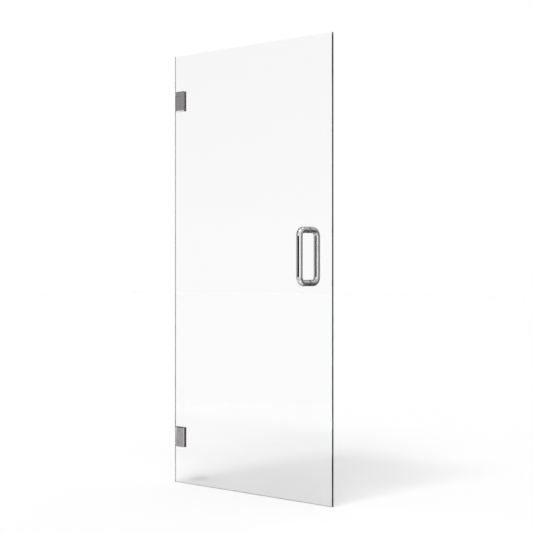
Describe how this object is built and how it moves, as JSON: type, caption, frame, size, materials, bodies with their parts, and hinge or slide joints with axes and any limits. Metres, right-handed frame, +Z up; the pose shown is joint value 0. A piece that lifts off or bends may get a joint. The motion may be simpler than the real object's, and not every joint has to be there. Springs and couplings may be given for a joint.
{
  "type": "shower door",
  "caption": "Frameless clear glass shower door that swings both ways on self-centring wall hinges, with a back-to-back D pull.",
  "frame": {"origin": "on the wall face of the lower hinge's plate, level with that hinge's middle and on the middle plane of the closed glass", "axes": "+X runs from the wall along the closed leaf, -Y is the outside that the picture shows, +Z is up"},
  "size_m": [0.8676, 0.137, 1.8288],
  "materials": {
    "clear_glass": "polished clear tempered glass",
    "hinge_chrome": "polished chrome plate on brass",
    "pull_chrome": "polished chrome plate",
    "pin_steel": "ground stainless steel",
    "spring_steel": "drawn stainless spring wire",
    "fastener_steel": "stainless steel",
    "bush_acetal": "moulded white acetal",
    "sleeve_nylon": "moulded clear nylon",
    "gasket_rubber": "cut black rubber sheet"
  },
  "bodies": {
    "wall_side": {"lower_wall_bracket": "hinge_chrome", "upper_wall_bracket": "hinge_chrome", "knuckle_bushes": "bush_acetal", "plunger_springs": "spring_steel", "spring_plugs": "fastener_steel"},
    "door_leaf": {"glass_panel": "clear_glass", "lower_pivot_pin": "pin_steel", "lower_front_body": "hinge_chrome", "lower_rear_clamp": "hinge_chrome", "lower_front_gasket": "gasket_rubber", "lower_rear_gasket": "gasket_rubber", "upper_pivot_pin": "pin_steel", "upper_front_body": "hinge_chrome", "upper_rear_clamp": "hinge_chrome", "upper_front_gasket": "gasket_rubber", "upper_rear_gasket": "gasket_rubber", "clamp_screws": "fastener_steel", "pin_grub_screws": "fastener_steel", "front_pull": "pull_chrome", "rear_pull": "pull_chrome", "pull_studs": "fastener_steel", "glass_hole_sleeves": "sleeve_nylon", "pull_washers": "sleeve_nylon", "pull_grub_screws": "fastener_steel"},
    "lower_plunger": {"lower_plunger": "pin_steel"},
    "upper_plunger": {"upper_plunger": "pin_steel"}
  },
  "joints": [
    {"name": "door_swing", "type": "hinge", "parent": "wall_side", "child": "door_leaf", "pos_m": [0.0195, 0, 0], "axis": [0, 0, 1], "range_deg": [-90, 90]},
    {"name": "lower_plunger_slide", "type": "slide", "parent": "wall_side", "child": "lower_plunger", "axis": [-1, 0, 0], "range_m": [0, 0.0004], "stiffness_N_per_m": 4000, "springref_m": 0.0004, "deforming": ["plunger_springs"]},
    {"name": "upper_plunger_slide", "type": "slide", "parent": "wall_side", "child": "upper_plunger", "axis": [-1, 0, 0], "range_m": [0, 0.0004], "stiffness_N_per_m": 4000, "springref_m": 0.0004, "deforming": ["plunger_springs"]}
  ]
}
